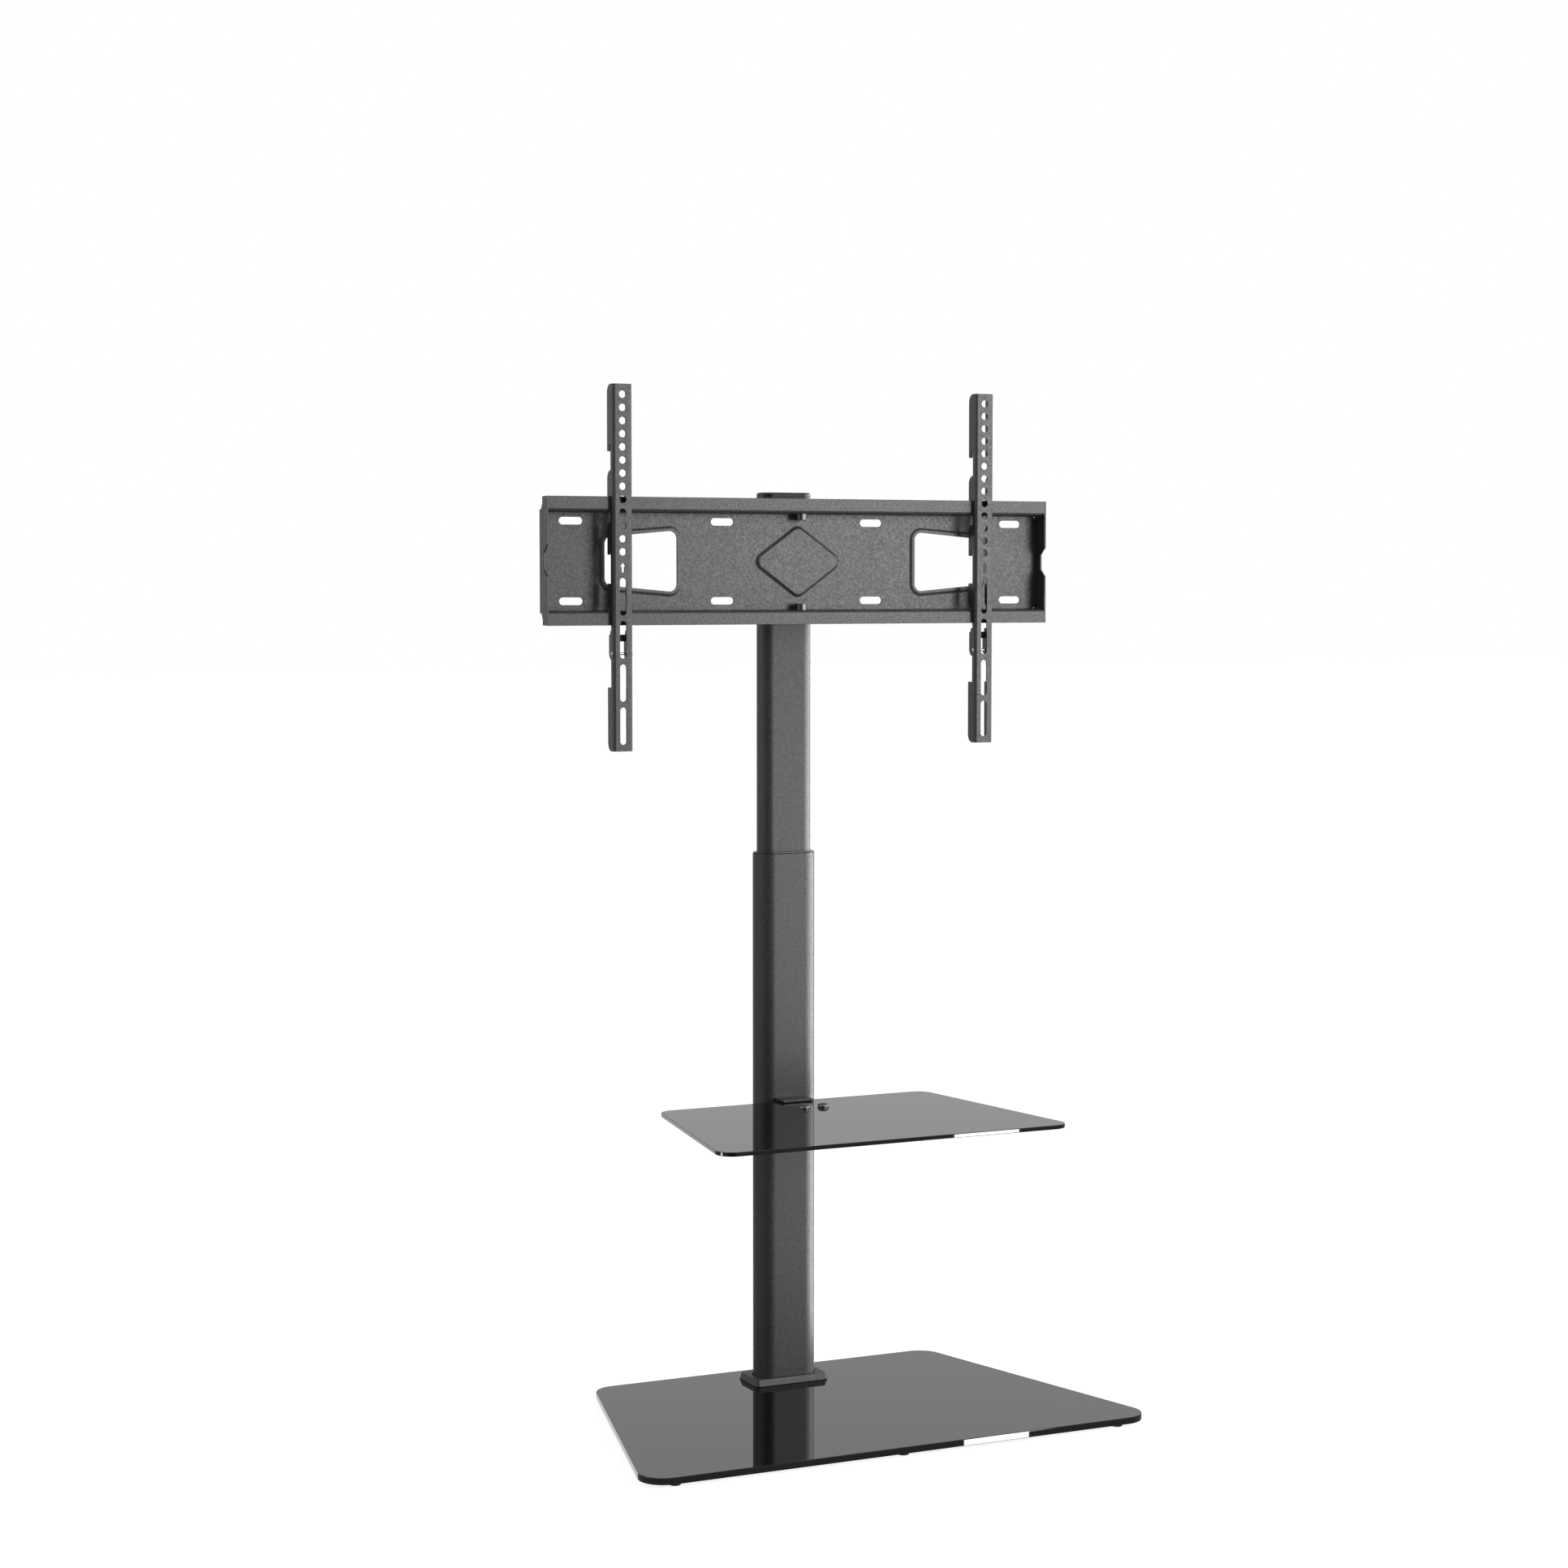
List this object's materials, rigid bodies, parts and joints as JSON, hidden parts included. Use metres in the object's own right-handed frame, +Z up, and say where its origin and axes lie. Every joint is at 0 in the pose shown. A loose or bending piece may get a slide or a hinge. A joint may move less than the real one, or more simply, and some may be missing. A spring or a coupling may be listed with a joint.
{
  "type": "tv stand with mount",
  "caption": "Floor stand for a television: black glass base, sliding oval column, cantilevered glass shelf, and a swivel mount plate with hooked arms and safety latches.",
  "frame": {"origin": "on the floor, under the middle of the base glass", "axes": "+Z up, +Y to the back, +X to the right seen from the front"},
  "size_m": [0.6688, 0.4, 1.2372],
  "materials": {
    "black_glass": "polished black tempered glass",
    "powder_coat": "fine-textured black powder coat",
    "black_plastic": "satin black plastic",
    "rubber": "matt black rubber",
    "nylon": "natural nylon",
    "black_screw": "blackened steel",
    "zinc": "zinc-plated steel"
  },
  "bodies": {
    "stand": {"base_glass": "black_glass", "foot_front_left": "rubber", "foot_front_middle": "rubber", "foot_front_right": "rubber", "foot_back_left": "rubber", "foot_back_right": "rubber", "base_under_plate": "powder_coat", "base_under_gasket": "rubber", "base_gasket": "rubber", "base_bolt_1": "zinc", "base_bolt_2": "zinc", "base_bolt_3": "zinc", "base_bolt_4": "zinc", "base_collar": "black_plastic", "outer_tube": "powder_coat", "tube_bushing": "black_plastic", "height_lock_bolt_upper": "black_screw", "height_lock_bolt_lower": "black_screw", "shelf_glass": "black_glass", "shelf_bracket": "powder_coat", "shelf_pad": "rubber", "shelf_liner": "rubber", "shelf_bolt_left": "black_screw", "shelf_bolt_right": "black_screw", "shelf_bushing_left": "nylon", "shelf_bushing_right": "nylon", "shelf_nut_left": "zinc", "shelf_nut_right": "zinc", "bracket_bolt_left": "black_screw", "bracket_bolt_right": "black_screw", "rivet_nut_left": "zinc", "rivet_nut_right": "zinc"},
    "mast": {"inner_tube": "powder_coat", "tube_cap": "black_plastic", "tube_glide": "nylon", "swivel_bracket": "powder_coat", "tube_bolt_upper": "black_screw", "tube_bolt_lower": "black_screw", "tube_nut_upper": "zinc", "tube_nut_lower": "zinc", "swivel_bolt_top": "black_screw", "swivel_bolt_bottom": "black_screw", "swivel_washer_top": "nylon", "swivel_washer_bottom": "nylon", "swivel_nut_top": "zinc", "swivel_nut_bottom": "zinc"},
    "swivel_plate": {"mount_plate": "powder_coat"},
    "left_arm": {"arm_left": "powder_coat", "latch_pin_left": "zinc"},
    "right_arm": {"arm_right": "powder_coat", "latch_pin_right": "zinc"},
    "left_latch": {"latch_left": "black_screw"},
    "right_latch": {"latch_right": "black_screw"}
  },
  "joints": [
    {"name": "height_slide", "type": "slide", "parent": "stand", "child": "mast", "axis": [0, 0, 1], "range_m": [-0.115, 0.06]},
    {"name": "swivel", "type": "hinge", "parent": "mast", "child": "swivel_plate", "pos_m": [0, 0.0912, 1.0301], "axis": [0, 0, 1], "range_deg": [-20, 20]},
    {"name": "left_arm_slide", "type": "slide", "parent": "swivel_plate", "child": "left_arm", "axis": [1, 0, 0], "range_m": [-0.075, 0.142]},
    {"name": "right_arm_slide", "type": "slide", "parent": "swivel_plate", "child": "right_arm", "axis": [1, 0, 0], "range_m": [-0.142, 0.075]},
    {"name": "left_latch_hinge", "type": "hinge", "parent": "left_arm", "child": "left_latch", "pos_m": [-0.2417, 0.0752, 0.921], "axis": [1, 0, 0], "range_deg": [0, 18]},
    {"name": "right_latch_hinge", "type": "hinge", "parent": "right_arm", "child": "right_latch", "pos_m": [0.2417, 0.0752, 0.921], "axis": [1, 0, 0], "range_deg": [0, 18]}
  ]
}
